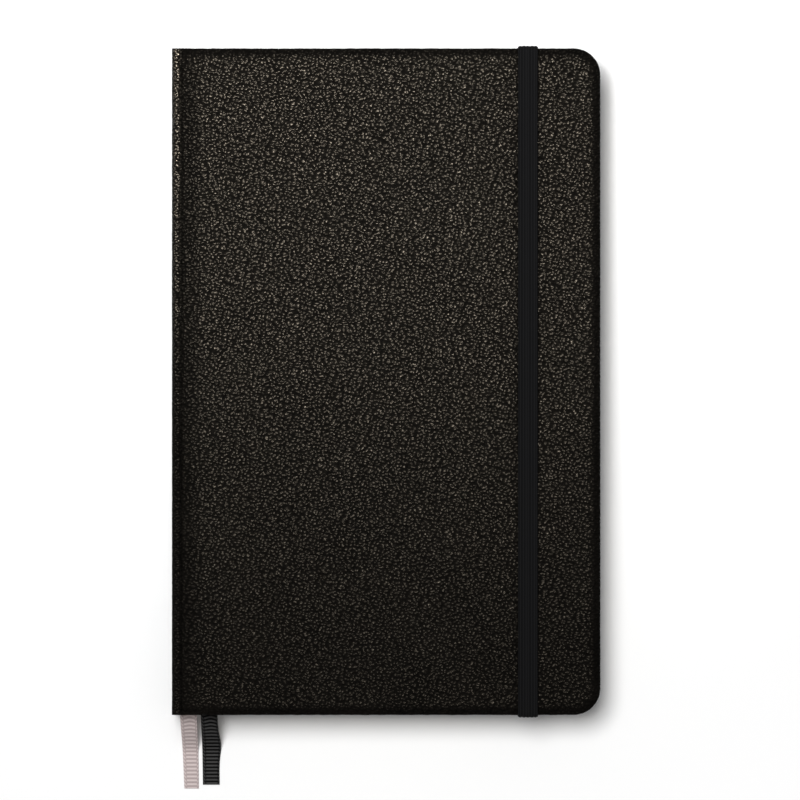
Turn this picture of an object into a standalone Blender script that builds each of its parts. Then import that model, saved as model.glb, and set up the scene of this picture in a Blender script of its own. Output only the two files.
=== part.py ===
"""Hardback pocket notebook with a leather cover, an elastic closing band and two ribbon page markers.

The book lies on its back cover. The origin is the middle of the back cover's outer face, +Y points to the
head, +X to the fore-edge and +Z through the thickness of the book.
"""

import math

import bmesh
import bpy
from mathutils import Matrix, Vector

MM = 0.001

# Driving sizes of the closed book, in millimetres.
COVER_WIDTH = 90.0
COVER_HEIGHT = 140.0
THICKNESS = 14.4
LEATHER = 0.35
BOARD = 1.6
TURN_IN = 0.25
PASTEDOWN = 0.12
FLYLEAF = 0.10
GAP = 0.05  # room left between pieces that lie against each other
CORNER_RADIUS = 5.6
EDGE_ROUNDING = 0.45
SPINE_ROUNDING = 1.1
OVERHANG = 2.6  # how far the covers stand out past the leaves
PASTED_MARGIN = 3.0  # how far the pasted endpaper stays inside the cover
TURN_IN_WIDTH = 12.0
FRONT_SIGNATURES = 5  # whole gatherings on each side of the middle one
RIBBON_WIDTH = 3.55
LIGHT_RIBBON_OUT = 16.2  # how far each ribbon reaches past the cover's tail
DARK_RIBBON_OUT = 15.4
RIBBON_THICKNESS = 0.25
RIBBONS_APART = 0.75
ELASTIC_WIDTH = 4.2
ELASTIC_THICKNESS = 0.6
ELASTIC_FROM_FORE_EDGE = 15.2
ELASTIC_SIDE_ROOM = 0.3
ELASTIC_HEAD_BEND = 0.5
ELASTIC_FOOT_BEND = 0.6
CHANNEL_DEPTH = 1.0  # of the groove that lets the elastic pass into the back cover
ANCHOR_DEPTH = 1.25  # of the pocket in the back board that holds the elastic's end
ANCHOR_LENGTH = 20.0
ANCHOR_ROOM = 1.0  # left past the end of the elastic in its pocket
SLOT_FROM_EDGE = 11.8
SLOT_ROOM = 0.6
SPINE_BOARD = 0.9
THREAD_COLUMNS = 5
STITCH_MARGIN = 0.3  # how far the stitches stay inside the outermost folds
TABLE_CLEARANCE = 0.05

# Where the folds lie when the book is open flat in the middle, for the outermost and the middle gathering.
OUTER_TURNED_FOLD_X = -58.4
MIDDLE_TURNED_FOLD_X = -51.1
OUTER_SPREAD = 0.4  # how far the rear gatherings slide towards the spine as it tips flat
MIDDLE_SPREAD = 7.6
TURNED_MIDDLE_X = -50.95  # half way between a cover closed and the same cover turned flat

# Sizes worked out from them.
HALF_WIDTH = COVER_WIDTH / 2
HALF_HEIGHT = COVER_HEIGHT / 2
MIDDLE = THICKNESS / 2
BOARD_DEPTH = LEATHER + GAP
TURN_IN_DEPTH = BOARD_DEPTH + BOARD + GAP
PASTEDOWN_DEPTH = TURN_IN_DEPTH + TURN_IN + GAP
FLYLEAF_DEPTH = PASTEDOWN_DEPTH + PASTEDOWN + GAP
LEAVES_DEPTH = FLYLEAF_DEPTH + FLYLEAF + GAP
CENTRE_GAP = RIBBON_THICKNESS + 2 * GAP
LEAVES_HALF = MIDDLE - LEAVES_DEPTH - CENTRE_GAP / 2
SIGNATURE_PITCH = LEAVES_HALF / (FRONT_SIGNATURES + 0.5)

# Stations across the book, from the spine towards the fore-edge.
SPINE_X = -HALF_WIDTH
SPINE_BOARD_X = SPINE_X + LEATHER + GAP
LINING_X = SPINE_BOARD_X + SPINE_BOARD + GAP
LINING = 0.15
THREAD_X = LINING_X + LINING + GAP
THREAD_RADIUS = 0.125
FOLD_X = THREAD_X + 2 * THREAD_RADIUS + GAP
SPLIT_X = -42.95  # where the cover leather bends when it opens
BOARD_START_X = -38.4
ENDPAPER_START_X = -43.1
LEAF_FORE_X = HALF_WIDTH - OVERHANG
LEAF_HALF_HEIGHT = HALF_HEIGHT - OVERHANG
JOINT_DEPTH = 0.4  # how far the leather dips between the spine and the board
ELASTIC_X = HALF_WIDTH - ELASTIC_FROM_FORE_EDGE
LEAF_CORNER = CORNER_RADIUS - 1.0
PASTED_CORNER = CORNER_RADIUS - 2.0
WINDOW_X = BOARD_START_X - 4.0

# Stations along the book's height.
SLOT_Y = HALF_HEIGHT - SLOT_FROM_EDGE
RIBBON_HEAD = LEAF_HALF_HEIGHT - 1.0
RIBBON_DROP_START = -(HALF_HEIGHT + 0.5)
RIBBON_LANDING = -(HALF_HEIGHT + 9.0)

# The elastic swings clear of the book about an axis beside and below its middle.
ELASTIC_AXIS_X = ELASTIC_X + 0.4
ELASTIC_AXIS_Z = -0.5

# How far the cutting shapes reach past the leather, past the covers and into the book.
SPARE = 2.0
TOOL_ROOM = 5.0
TOOL_DEPTH = 6.0

ARC_STEPS = 8
BEND_STEPS = 6
RIBBON_STEPS = 16
ROUNDING_STEPS = 3
THREAD_SIDES = 12
ROUNDED_ANGLE = math.radians(60)
CREASE_ANGLE = math.radians(50)
WELD_DISTANCE = 1e-7


def material(name, colour, roughness, metallic=0.0):
    """A plain finish for one kind of material."""
    found = bpy.data.materials.get(name)
    if found:
        return found
    made = bpy.data.materials.new(name)
    made.use_nodes = True
    shader = made.node_tree.nodes["Principled BSDF"]
    shader.inputs["Base Color"].default_value = (*colour, 1.0)
    shader.inputs["Roughness"].default_value = roughness
    shader.inputs["Metallic"].default_value = metallic
    return made


def leather():
    """Black covering leather."""
    return material("black_leather", (0.012, 0.011, 0.010), 0.5)


def board():
    """Grey board."""
    return material("grey_board", (0.32, 0.30, 0.27), 0.85)


def endpaper():
    """Ivory endpaper."""
    return material("ivory_endpaper", (0.82, 0.76, 0.62), 0.75)


def page():
    """Ivory writing paper."""
    return material("ivory_paper", (0.86, 0.81, 0.69), 0.8)


def lining_cloth():
    """Cloth glued over the folds."""
    return material("lining_cloth", (0.70, 0.67, 0.58), 0.9)


def thread():
    """Linen thread."""
    return material("sewing_thread", (0.85, 0.82, 0.74), 0.7)


def light_ribbon():
    """Pale grosgrain."""
    return material("pale_ribbon", (0.66, 0.58, 0.57), 0.6)


def dark_ribbon():
    """Dark grosgrain."""
    return material("dark_ribbon", (0.03, 0.03, 0.03), 0.6)


def elastic():
    """Covered rubber."""
    return material("black_elastic", (0.012, 0.012, 0.013), 0.75)


def soft_fall(share):
    """Falls from 1 to 0 and is level at both ends."""
    return (1 + math.cos(math.pi * share)) / 2


def arc(centre, radius, start_deg, end_deg, steps=ARC_STEPS):
    """Points on a circular arc, both ends included."""
    points = []
    for step in range(steps + 1):
        angle = math.radians(start_deg + (end_deg - start_deg) * step / steps)
        points.append((centre[0] + radius * math.cos(angle), centre[1] + radius * math.sin(angle)))
    return points


def leaf_outline(left, right, half_height, radius):
    """A sheet's outline: square corners at the spine and rounded ones at the fore-edge."""
    outline = [(left, half_height), (left, -half_height)]
    outline += arc((right - radius, -half_height + radius), radius, -90, 0)
    outline += arc((right - radius, half_height - radius), radius, 0, 90)
    return outline


def oblong(left, right, low, high):
    """A rectangle's outline."""
    return [(left, low), (right, low), (right, high), (left, high)]


def mesh_from_curve(name, points, closed, half_depth):
    """A flat curve through the points, extruded to both sides, as a welded mesh."""
    curve = bpy.data.curves.new(name, "CURVE")
    curve.dimensions = "2D"
    curve.fill_mode = "BOTH" if closed else "NONE"
    curve.extrude = half_depth * MM
    spline = curve.splines.new("POLY")
    spline.points.add(len(points) - 1)
    for point, (u, v) in zip(spline.points, points):
        point.co = (u * MM, v * MM, 0.0, 1.0)
    spline.use_cyclic_u = closed
    holder = bpy.data.objects.new(name, curve)
    bpy.context.scene.collection.objects.link(holder)
    graph = bpy.context.evaluated_depsgraph_get()
    mesh = bpy.data.meshes.new_from_object(holder.evaluated_get(graph))
    bpy.data.objects.remove(holder)
    bpy.data.curves.remove(curve)
    shape = bmesh.new()
    shape.from_mesh(mesh)
    bmesh.ops.remove_doubles(shape, verts=shape.verts, dist=WELD_DISTANCE)
    bmesh.ops.recalc_face_normals(shape, faces=shape.faces)
    shape.to_mesh(mesh)
    shape.free()
    return mesh


def pivot(name, x, z, collection, parent=None):
    """An empty on a joint's axis, which runs along the book's height."""
    made = bpy.data.objects.new(name, None)
    made.location = Vector((x, 0, z)) * MM
    if parent:
        made.parent = parent
        made.location -= parent.location
    collection.objects.link(made)
    return made


def hang(pieces, axis):
    """Lets pieces turn about an axis and leaves them where they are."""
    bpy.context.view_layer.update()
    for piece in pieces:
        piece.parent = axis
        piece.matrix_parent_inverse = axis.matrix_world.inverted()


def add_object(name, mesh, finish, collection):
    """Puts a mesh in the scene with its finish."""
    mesh.name = name
    mesh.materials.clear()
    if finish:
        mesh.materials.append(finish)
    made = bpy.data.objects.new(name, mesh)
    collection.objects.link(made)
    return made


def plate(name, outline, low, high, finish, collection):
    """A sheet with the given outline seen from above, from height low to height high."""
    mesh = mesh_from_curve(name, outline, True, (high - low) / 2)
    mesh.transform(Matrix.Translation((0, 0, (low + high) / 2 * MM)))
    return add_object(name, mesh, finish, collection)


def bar(name, profile, half_length, finish, collection):
    """A profile drawn in x and z, run along the book's height to both sides."""
    mesh = mesh_from_curve(name, profile, True, half_length)
    mesh.transform(Matrix.Rotation(math.pi / 2, 4, "X"))
    return add_object(name, mesh, finish, collection)


def strap(name, path, middle_x, width, thickness, finish, collection):
    """A flat band whose middle line follows a path drawn in y and z."""
    mesh = mesh_from_curve(name, path, False, width / 2)
    along_x = Matrix(((0, 0, 1, 0), (1, 0, 0, 0), (0, 1, 0, 0), (0, 0, 0, 1)))
    mesh.transform(Matrix.Translation((middle_x * MM, 0, 0)) @ along_x)
    made = add_object(name, mesh, finish, collection)
    solid = made.modifiers.new("thickness", "SOLIDIFY")
    solid.thickness = thickness * MM
    solid.offset = 0.0
    solid.use_even_offset = True
    return made


def cutter(name, outline, low, high, cutters, upright=False):
    """A tool body that is taken out of a piece."""
    if upright:
        made = bar(name, outline, (high - low) / 2, None, cutters)
    else:
        made = plate(name, outline, low, high, None, cutters)
    made.hide_render = True
    made.display_type = "WIRE"
    return made


def cut(piece, tool):
    """Takes the tool body out of the piece."""
    step = piece.modifiers.new(tool.name, "BOOLEAN")
    step.operation = "DIFFERENCE"
    step.solver = "EXACT"
    step.object = tool


def span(front, near, far):
    """The heights, low first, of a layer that lies between two depths under a cover's outer face."""
    if front:
        return THICKNESS - far, THICKNESS - near
    return near, far


def height(front, depth):
    """The height of a level at a depth under a cover's outer face."""
    return THICKNESS - depth if front else depth


def joint_profile(front):
    """The soft valley in the leather between the spine and the board, with all that is above it."""
    left, foot, shoulder = SPINE_X - TOOL_ROOM, SPLIT_X + LEATHER, BOARD_START_X
    above = height(front, -TOOL_ROOM)
    outline = [(left, above), (left, height(front, JOINT_DEPTH))]
    for step in range(ARC_STEPS + 1):
        share = step / ARC_STEPS
        dip = JOINT_DEPTH * soft_fall(share)
        outline.append((foot + (shoulder - foot) * share, height(front, dip)))
    outline.append((shoulder, above))
    return outline


def elastic_slots(side, front_to_back):
    """Outlines of the places that the elastic takes in the back cover at the head (1) or the tail (-1)."""
    half = ELASTIC_WIDTH / 2 + ELASTIC_SIDE_ROOM
    low, high = sorted(side * y for y in front_to_back)
    return oblong(ELASTIC_X - half, ELASTIC_X + half, low, high)


def cover_skin(front, collection, cutters):
    """The leather of one cover, turned in over the board's edges, with the bend at the spine side."""
    name = "front_skin" if front else "back_skin"
    outline = leaf_outline(SPINE_X - SPARE, HALF_WIDTH, HALF_HEIGHT, CORNER_RADIUS)
    skin = plate(name, outline, *span(front, 0, TURN_IN_DEPTH + TURN_IN), leather(), collection)
    rounding = skin.modifiers.new("edge_rounding", "BEVEL")
    rounding.width = EDGE_ROUNDING * MM
    rounding.segments = ROUNDING_STEPS
    rounding.limit_method = "ANGLE"
    rounding.angle_limit = ROUNDED_ANGLE
    length = COVER_HEIGHT + 2 * TOOL_ROOM
    valley = cutter(name + "_valley", joint_profile(front), 0, length, cutters, upright=True)
    below = span(front, JOINT_DEPTH + LEATHER, TOOL_DEPTH)
    inner = oblong(SPINE_X - TOOL_ROOM, BOARD_START_X - GAP, *below)
    under = cutter(name + "_under", inner, 0, length, cutters, upright=True)
    end = oblong(SPINE_X - TOOL_ROOM, SPLIT_X + GAP, *span(front, -SPARE, TOOL_DEPTH))
    trim = cutter(name + "_trim", end, 0, length, cutters, upright=True)
    hollow = leaf_outline(
        BOARD_START_X - GAP, HALF_WIDTH - BOARD_DEPTH + GAP,
        HALF_HEIGHT - BOARD_DEPTH + GAP, CORNER_RADIUS - BOARD_DEPTH + GAP,
    )
    pocket = cutter(name + "_board_room", hollow, *span(front, LEATHER, TURN_IN_DEPTH), cutters)
    window = oblong(
        WINDOW_X, HALF_WIDTH - TURN_IN_WIDTH,
        -HALF_HEIGHT + TURN_IN_WIDTH, HALF_HEIGHT - TURN_IN_WIDTH,
    )
    opening = cutter(name + "_window", window, *span(front, TURN_IN_DEPTH - 4 * GAP, TOOL_DEPTH), cutters)
    for tool in (valley, under, trim, pocket, opening):
        cut(skin, tool)
    if not front:
        for side, end_name in ((1, "head"), (-1, "tail")):
            way = elastic_slots(side, (SLOT_Y - SLOT_ROOM, HALF_HEIGHT + SPARE))
            cut(skin, cutter("skin_way_" + end_name, way, -SPARE, CHANNEL_DEPTH, cutters))
    return skin


def cover_board(front, collection, cutters):
    """The stiff board inside one cover."""
    outline = leaf_outline(
        BOARD_START_X, HALF_WIDTH - BOARD_DEPTH, HALF_HEIGHT - BOARD_DEPTH,
        CORNER_RADIUS - BOARD_DEPTH,
    )
    name = "front_board" if front else "back_board"
    made = plate(name, outline, *span(front, BOARD_DEPTH, BOARD_DEPTH + BOARD), board(), collection)
    if not front:
        for side, end_name in ((1, "head"), (-1, "tail")):
            way = elastic_slots(side, (SLOT_Y - SLOT_ROOM, HALF_HEIGHT + SPARE))
            slot = elastic_slots(side, (SLOT_Y - SLOT_ROOM, SLOT_Y + SLOT_ROOM))
            room = elastic_slots(side, (SLOT_Y - ANCHOR_LENGTH - ANCHOR_ROOM, SLOT_Y + SLOT_ROOM))
            cut(made, cutter("board_way_" + end_name, way, -SPARE, CHANNEL_DEPTH, cutters))
            cut(made, cutter("board_slot_" + end_name, slot, -SPARE, TOOL_DEPTH, cutters))
            cut(made, cutter("anchor_room_" + end_name, room, ANCHOR_DEPTH, TOOL_DEPTH, cutters))
    return made


def endpapers(front, collection):
    """The sheet pasted inside one cover, and the free leaf that faces it."""
    side = "front" if front else "back"
    right, half_height = HALF_WIDTH - PASTED_MARGIN, HALF_HEIGHT - PASTED_MARGIN
    pasted = leaf_outline(BOARD_START_X + BOARD_DEPTH, right, half_height, PASTED_CORNER)
    depth = PASTEDOWN_DEPTH
    glued = plate(side + "_pastedown", pasted, *span(front, depth, depth + PASTEDOWN), endpaper(), collection)
    free = leaf_outline(ENDPAPER_START_X, LEAF_FORE_X, LEAF_HALF_HEIGHT, LEAF_CORNER)
    name = "front_flyleaf" if front else "rear_flyleaf"
    loose = plate(name, free, *span(front, FLYLEAF_DEPTH, FLYLEAF_DEPTH + FLYLEAF), endpaper(), collection)
    return glued, loose


def leaf_pivot_x(rank):
    """Where a front gathering turns, seen from the rear one that it is paired with; rank 0 is outermost."""
    share = rank / FRONT_SIGNATURES
    turned = OUTER_TURNED_FOLD_X + (MIDDLE_TURNED_FOLD_X - OUTER_TURNED_FOLD_X) * share
    spread = OUTER_SPREAD + (MIDDLE_SPREAD - OUTER_SPREAD) * share
    return (FOLD_X + turned + spread) / 2


def signatures(collection):
    """The folded gatherings of leaves; the middle one is split where the ribbons lie."""
    outline = leaf_outline(FOLD_X, LEAF_FORE_X, LEAF_HALF_HEIGHT, LEAF_CORNER)
    last = 2 * FRONT_SIGNATURES + 1
    for number in range(1, FRONT_SIGNATURES + 1):
        near = LEAVES_DEPTH + (number - 1) * SIGNATURE_PITCH
        far = near + SIGNATURE_PITCH - GAP
        turning = plate(f"signature_{number:02d}", outline, *span(True, near, far), page(), collection)
        hang([turning], pivot(f"leaves_{number}_axis", leaf_pivot_x(number - 1), MIDDLE, collection))
        plate(f"signature_{last + 1 - number:02d}", outline, *span(False, near, far), page(), collection)
    near = LEAVES_DEPTH + FRONT_SIGNATURES * SIGNATURE_PITCH
    far = MIDDLE - CENTRE_GAP / 2
    turning = plate("centre_leaves_front", outline, *span(True, near, far), page(), collection)
    hang([turning], pivot("centre_leaves_axis", leaf_pivot_x(FRONT_SIGNATURES), MIDDLE, collection))
    plate("centre_leaves_rear", outline, *span(False, near, far), page(), collection)


def spine(collection):
    """The spine's leather with both bends, its stiff strip, and the cloth glued over the folds."""
    top = JOINT_DEPTH + GAP
    radius = SPINE_ROUNDING
    outer = [(SPLIT_X - GAP, height(False, top))]
    outer += arc((SPINE_X + radius, top + radius), radius, 270, 180)
    outer += arc((SPINE_X + radius, THICKNESS - top - radius), radius, 180, 90)
    outer.append((SPLIT_X - GAP, THICKNESS - top))
    inset = radius - LEATHER
    outer.append((SPLIT_X - GAP, THICKNESS - top - LEATHER))
    outer += arc((SPINE_X + radius, THICKNESS - top - radius), inset, 90, 180)
    outer += arc((SPINE_X + radius, top + radius), inset, 180, 270)
    outer.append((SPLIT_X - GAP, top + LEATHER))
    skin = bar("spine_skin", outer, HALF_HEIGHT, leather(), collection)
    rise = top + radius + 2 * GAP
    strip = oblong(SPINE_BOARD_X, SPINE_BOARD_X + SPINE_BOARD, rise, THICKNESS - rise)
    stiff = bar("spine_board", strip, HALF_HEIGHT - BOARD_DEPTH, board(), collection)
    cloth = oblong(LINING_X, LINING_X + LINING, LEAVES_DEPTH, THICKNESS - LEAVES_DEPTH)
    glued = bar("spine_lining", cloth, LEAF_HALF_HEIGHT - PASTED_MARGIN, lining_cloth(), collection)
    return [skin, stiff, glued]


def sewing(collection):
    """One column of linked stitches at each sewing station along the folds."""
    pitch = 2 * LEAF_HALF_HEIGHT / (THREAD_COLUMNS + 1)
    reach = MIDDLE - LEAVES_DEPTH - STITCH_MARGIN
    columns = []
    for number in range(THREAD_COLUMNS):
        mesh = bpy.data.meshes.new("sewing")
        shape = bmesh.new()
        bmesh.ops.create_cone(
            shape, cap_ends=True, segments=THREAD_SIDES, depth=2 * reach * MM,
            radius1=THREAD_RADIUS * MM, radius2=THREAD_RADIUS * MM,
        )
        shape.to_mesh(mesh)
        shape.free()
        along = (number + 1) * pitch - LEAF_HALF_HEIGHT
        place = Vector((THREAD_X + THREAD_RADIUS, along, MIDDLE)) * MM
        mesh.transform(Matrix.Translation(place))
        made = add_object(f"sewing_thread_{number + 1}", mesh, thread(), collection)
        made.data.shade_smooth()
        made.data.set_sharp_from_angle(angle=CREASE_ANGLE)
        columns.append(made)
    return columns


def ribbon_path(end):
    """Down the middle of the book, out at the tail and over to the table."""
    resting = RIBBON_THICKNESS / 2 + TABLE_CLEARANCE
    path = [(RIBBON_HEAD, MIDDLE)]
    for step in range(RIBBON_STEPS + 1):
        share = step / RIBBON_STEPS
        along = RIBBON_DROP_START + (RIBBON_LANDING - RIBBON_DROP_START) * share
        path.append((along, resting + (MIDDLE - resting) * soft_fall(share)))
    path.append((end, resting))
    return path


def ribbons(collection):
    """Two page markers side by side in the middle gathering."""
    light_x = FOLD_X + GAP + RIBBON_WIDTH / 2
    dark_x = light_x + RIBBON_WIDTH + RIBBONS_APART
    pieces = (
        ("ribbon_light", light_x, LIGHT_RIBBON_OUT, light_ribbon()),
        ("ribbon_black", dark_x, DARK_RIBBON_OUT, dark_ribbon()),
    )
    for name, middle_x, out, finish in pieces:
        path = ribbon_path(-(HALF_HEIGHT + out))
        strap(name, path, middle_x, RIBBON_WIDTH, RIBBON_THICKNESS, finish, collection)


def elastic_strap(name, path, collection):
    """A length of the closing band."""
    return strap(name, path, ELASTIC_X, ELASTIC_WIDTH, ELASTIC_THICKNESS, elastic(), collection)


def elastic_pieces(collection):
    """The closing band round the book and its two ends, glued inside the back board."""
    half = ELASTIC_THICKNESS / 2
    beyond = HALF_HEIGHT + GAP + half
    low, high = 2 * TABLE_CLEARANCE + half, THICKNESS + GAP + half
    foot, top = ELASTIC_FOOT_BEND, ELASTIC_HEAD_BEND
    head = [(SLOT_Y + 2 * half + GAP, low)]
    head += arc((beyond - foot, low + foot), foot, -90, 0, BEND_STEPS)
    head += arc((beyond - top, high - top), top, 0, 90, BEND_STEPS)
    tail = [(-y, z) for y, z in reversed(head)]
    loop = elastic_strap("elastic_band", head + tail, collection)
    inside = ANCHOR_DEPTH + GAP + half
    bend = half + GAP
    end = [(SLOT_Y - ANCHOR_LENGTH, inside)]
    end += arc((SLOT_Y - bend, inside - bend), bend, 90, 0, BEND_STEPS)
    end.append((SLOT_Y, low - half + GAP))
    elastic_strap("elastic_anchor_top", end, collection)
    elastic_strap("elastic_anchor_bottom", [(-y, z) for y, z in end], collection)
    hang([loop], pivot("elastic_axis", ELASTIC_AXIS_X, ELASTIC_AXIS_Z, collection))


def clear_scene():
    """Takes away whatever a new file starts with."""
    for old in list(bpy.data.objects):
        bpy.data.objects.remove(old)


def new_collection(name):
    """An empty collection in the scene."""
    made = bpy.data.collections.new(name)
    bpy.context.scene.collection.children.link(made)
    return made


def main():
    """Builds the closed book."""
    clear_scene()
    book = new_collection("pocket_notebook")
    cutters = new_collection("cutters")
    middle_axis = pivot("book_axis", TURNED_MIDDLE_X, MIDDLE, book)
    cover_axis = pivot("front_cover_axis", SPLIT_X, THICKNESS + GAP, book, middle_axis)
    for front in (True, False):
        skin = cover_skin(front, book, cutters)
        stiff = cover_board(front, book, cutters)
        glued, loose = endpapers(front, book)
        if front:
            hang([skin, stiff, glued], cover_axis)
            hang([loose], middle_axis)
    signatures(book)
    spine_axis = pivot("spine_axis", SPINE_X + GAP, GAP, book)
    hang(spine(book) + sewing(book), spine_axis)
    ribbons(book)
    elastic_pieces(book)


main()
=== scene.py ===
"""Looks of a pocket notebook: pebbled leather case, ruled leaves, corded elastic and grosgrain ribbons."""

import math

import bpy
import numpy as np
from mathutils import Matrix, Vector


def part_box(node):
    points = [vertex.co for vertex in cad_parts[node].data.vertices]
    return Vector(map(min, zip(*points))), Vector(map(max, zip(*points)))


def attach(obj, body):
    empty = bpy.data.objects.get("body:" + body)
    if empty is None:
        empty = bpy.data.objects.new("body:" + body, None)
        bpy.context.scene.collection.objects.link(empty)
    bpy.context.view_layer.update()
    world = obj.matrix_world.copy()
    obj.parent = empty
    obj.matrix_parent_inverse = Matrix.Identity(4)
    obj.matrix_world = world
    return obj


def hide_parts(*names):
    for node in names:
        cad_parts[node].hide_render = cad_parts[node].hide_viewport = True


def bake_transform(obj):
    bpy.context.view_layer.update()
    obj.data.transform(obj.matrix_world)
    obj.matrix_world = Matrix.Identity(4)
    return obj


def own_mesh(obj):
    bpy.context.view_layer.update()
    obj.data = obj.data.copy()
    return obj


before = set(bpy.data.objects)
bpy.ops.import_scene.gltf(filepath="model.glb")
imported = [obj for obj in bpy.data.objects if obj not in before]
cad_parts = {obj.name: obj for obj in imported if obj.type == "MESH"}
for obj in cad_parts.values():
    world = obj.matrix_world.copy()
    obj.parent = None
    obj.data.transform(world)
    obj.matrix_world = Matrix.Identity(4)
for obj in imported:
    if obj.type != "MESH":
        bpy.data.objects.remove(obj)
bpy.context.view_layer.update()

MM = 0.001


def node_box(name):
    """Lowest and highest corner of a CAD node, in millimetres."""
    low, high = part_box(name)
    return np.array(low) / MM, np.array(high) / MM


# Places of the closed book, read from the frame. All sizes are in millimetres.
SKIN_LOW, SKIN_HIGH = node_box("front_skin")
SPINE_LOW, SPINE_HIGH = node_box("spine_skin")
LEAF_HIGH = node_box("signature_01")[1]
BOARD_LOW = node_box("front_board")[0]
BAND_LOW, BAND_HIGH = node_box("elastic_band")
PASTE_LOW, PASTE_HIGH = node_box("front_pastedown")
RIBBON_LOW, RIBBON_HIGH = node_box("ribbon_light")
THICKNESS = SKIN_HIGH[2]
MIDDLE = THICKNESS / 2
HALF_HEIGHT = SKIN_HIGH[1]
FORE_X = SKIN_HIGH[0]
SPLIT_X = SKIN_LOW[0]
BOARD_X = BOARD_LOW[0]
BAND_X = (BAND_LOW[0] + BAND_HIGH[0]) / 2
BAND_WIDTH = BAND_HIGH[0] - BAND_LOW[0]

# The leather case.
LEATHER = 0.35
CORNER = 5.6
BOARD_CORNER = 5.2
BOARD_EASING = 0.34
EDGE_RADIUS = 0.45
EDGE_DROP = 0.42
LOWER_RADIUS = 0.28
TURN_IN_WIDTH = 12.0
TURN_IN_FACE = THICKNESS - PASTE_HIGH[2] - 0.05
JOINT_DIP = 0.6
TUCK = 0.35  # how far a cover's leather reaches under the spine's lip
GRAIN_LEVEL = 0.06  # middle height of the grain over the flayed leather
BAND_PRESS = 0.13
CHANNEL_DEPTH = 0.9
CHANNEL_LENGTH = 12.6
SPINE_ROLL = (1.5, 1.1)
SPINE_FLAP = 5.0
FLAP_LEATHER = 0.32
CLEAR = 0.03

# The leaves.
LEAF_CORNER = 4.6
SHEETS = 4  # folded sheets in a gathering
RULE_PITCH = 6.0
RULES_TOP = LEAF_HIGH[1] - 12.0
RULES_END = LEAF_HIGH[0] - 0.5
IVORY = (0.66, 0.61, 0.50)
ENDPAPER = (0.64, 0.59, 0.485)
COCKLE = 0.015

# The elastic and the ribbons.
CORDS = 5
BAND_THICKNESS = 0.6
BAND_START = HALF_HEIGHT - 11.1
RIBBON_WIDTH = RIBBON_HIGH[0] - RIBBON_LOW[0]
RIBBON_THICKNESS = 0.25
SELVEDGE = 0.5
RIBS_OFF_CENTRE = 0.14
RIBS_END = RIBBON_WIDTH / 2 - SELVEDGE
PALE_PITCH = 0.82
DARK_PITCH = 0.75
RIBBON_REACH = 15.0  # about what shows of a ribbon beyond the tail

# The view from above.
VIEW_CENTRE = (2.94, -3.85)
VIEW_WIDTH = 167.9
LENS = 300.0
SENSOR = 36.0


# ---------------------------------------------------------------- numbers

def smooth(value, low, high):
    """0 below low, 1 above high and a soft step between them."""
    share = np.clip((value - low) / (high - low), 0, 1)
    return share * share * (3 - 2 * share)


def scatter(i, j, salt):
    """A repeatable number from 0 to 1 for each whole-number place."""
    value = np.sin(i * 127.1 + j * 311.7 + salt * 74.7) * 43758.5453
    return value - np.floor(value)


def drift(x, y, size, salt):
    """Soft noise from -1 to 1 that changes over the given size."""
    u, v = x / size, y / size
    i, j = np.floor(u), np.floor(v)
    s, t = u - i, v - j
    s, t = s * s * (3 - 2 * s), t * t * (3 - 2 * t)
    near = scatter(i, j, salt) * (1 - s) + scatter(i + 1, j, salt) * s
    far = scatter(i, j + 1, salt) * (1 - s) + scatter(i + 1, j + 1, salt) * s
    return 2 * (near * (1 - t) + far * t) - 1


def pebbles(x, y, length, width, salt):
    """Height from 0 in the creases to 1 on the pebbles of a leather grain."""
    turn = math.radians(24)
    sway = 0.45 * length
    x = x + sway * drift(x, y, 2.2 * length, salt + 1)
    y = y + sway * drift(x, y, 2.2 * length, salt + 2)
    u = (x * math.cos(turn) + y * math.sin(turn)) / length
    v = (y * math.cos(turn) - x * math.sin(turn)) / width
    i, j = np.floor(u), np.floor(v)
    first = np.full(u.shape, 9.0)
    second = np.full(u.shape, 9.0)
    for di in (-1, 0, 1):
        for dj in (-1, 0, 1):
            a, b = i + di, j + dj
            far = np.hypot(a + scatter(a, b, salt) - u, b + scatter(a, b, salt + 9) - v)
            second = np.minimum(second, np.maximum(first, far))
            first = np.minimum(first, far)
    return 1 - np.exp(-5.0 * (second - first))


def grain(x, y):
    """Relief of the leather: pebbles, smaller pebbles over them and a slow swell."""
    coarse = pebbles(x, y, 1.15, 0.85, 3)
    fine = pebbles(x, y, 0.62, 0.5, 5)
    return 0.04 * coarse + 0.018 * fine + 0.02 * drift(x, y, 3.0, 8)


def arc(centre, radius, start, end, steps):
    """Points on an arc in y and z, angles in degrees."""
    angles = np.radians(np.linspace(start, end, steps))
    return [(centre[0] + radius * math.cos(a), centre[1] + radius * math.sin(a)) for a in angles]


def left_of(path):
    """Directions at right angles to a flat path, towards its left."""
    tangent = np.gradient(path, axis=0)
    tangent /= np.hypot(*tangent.T)[:, None]
    return np.stack([-tangent[:, 1], tangent[:, 0]], -1)


def lengths_along(path):
    """How far each point of a flat path lies from its start."""
    return np.concatenate([[0], np.cumsum(np.hypot(*np.diff(path, axis=0).T))])


# ---------------------------------------------------------------- meshes

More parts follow.
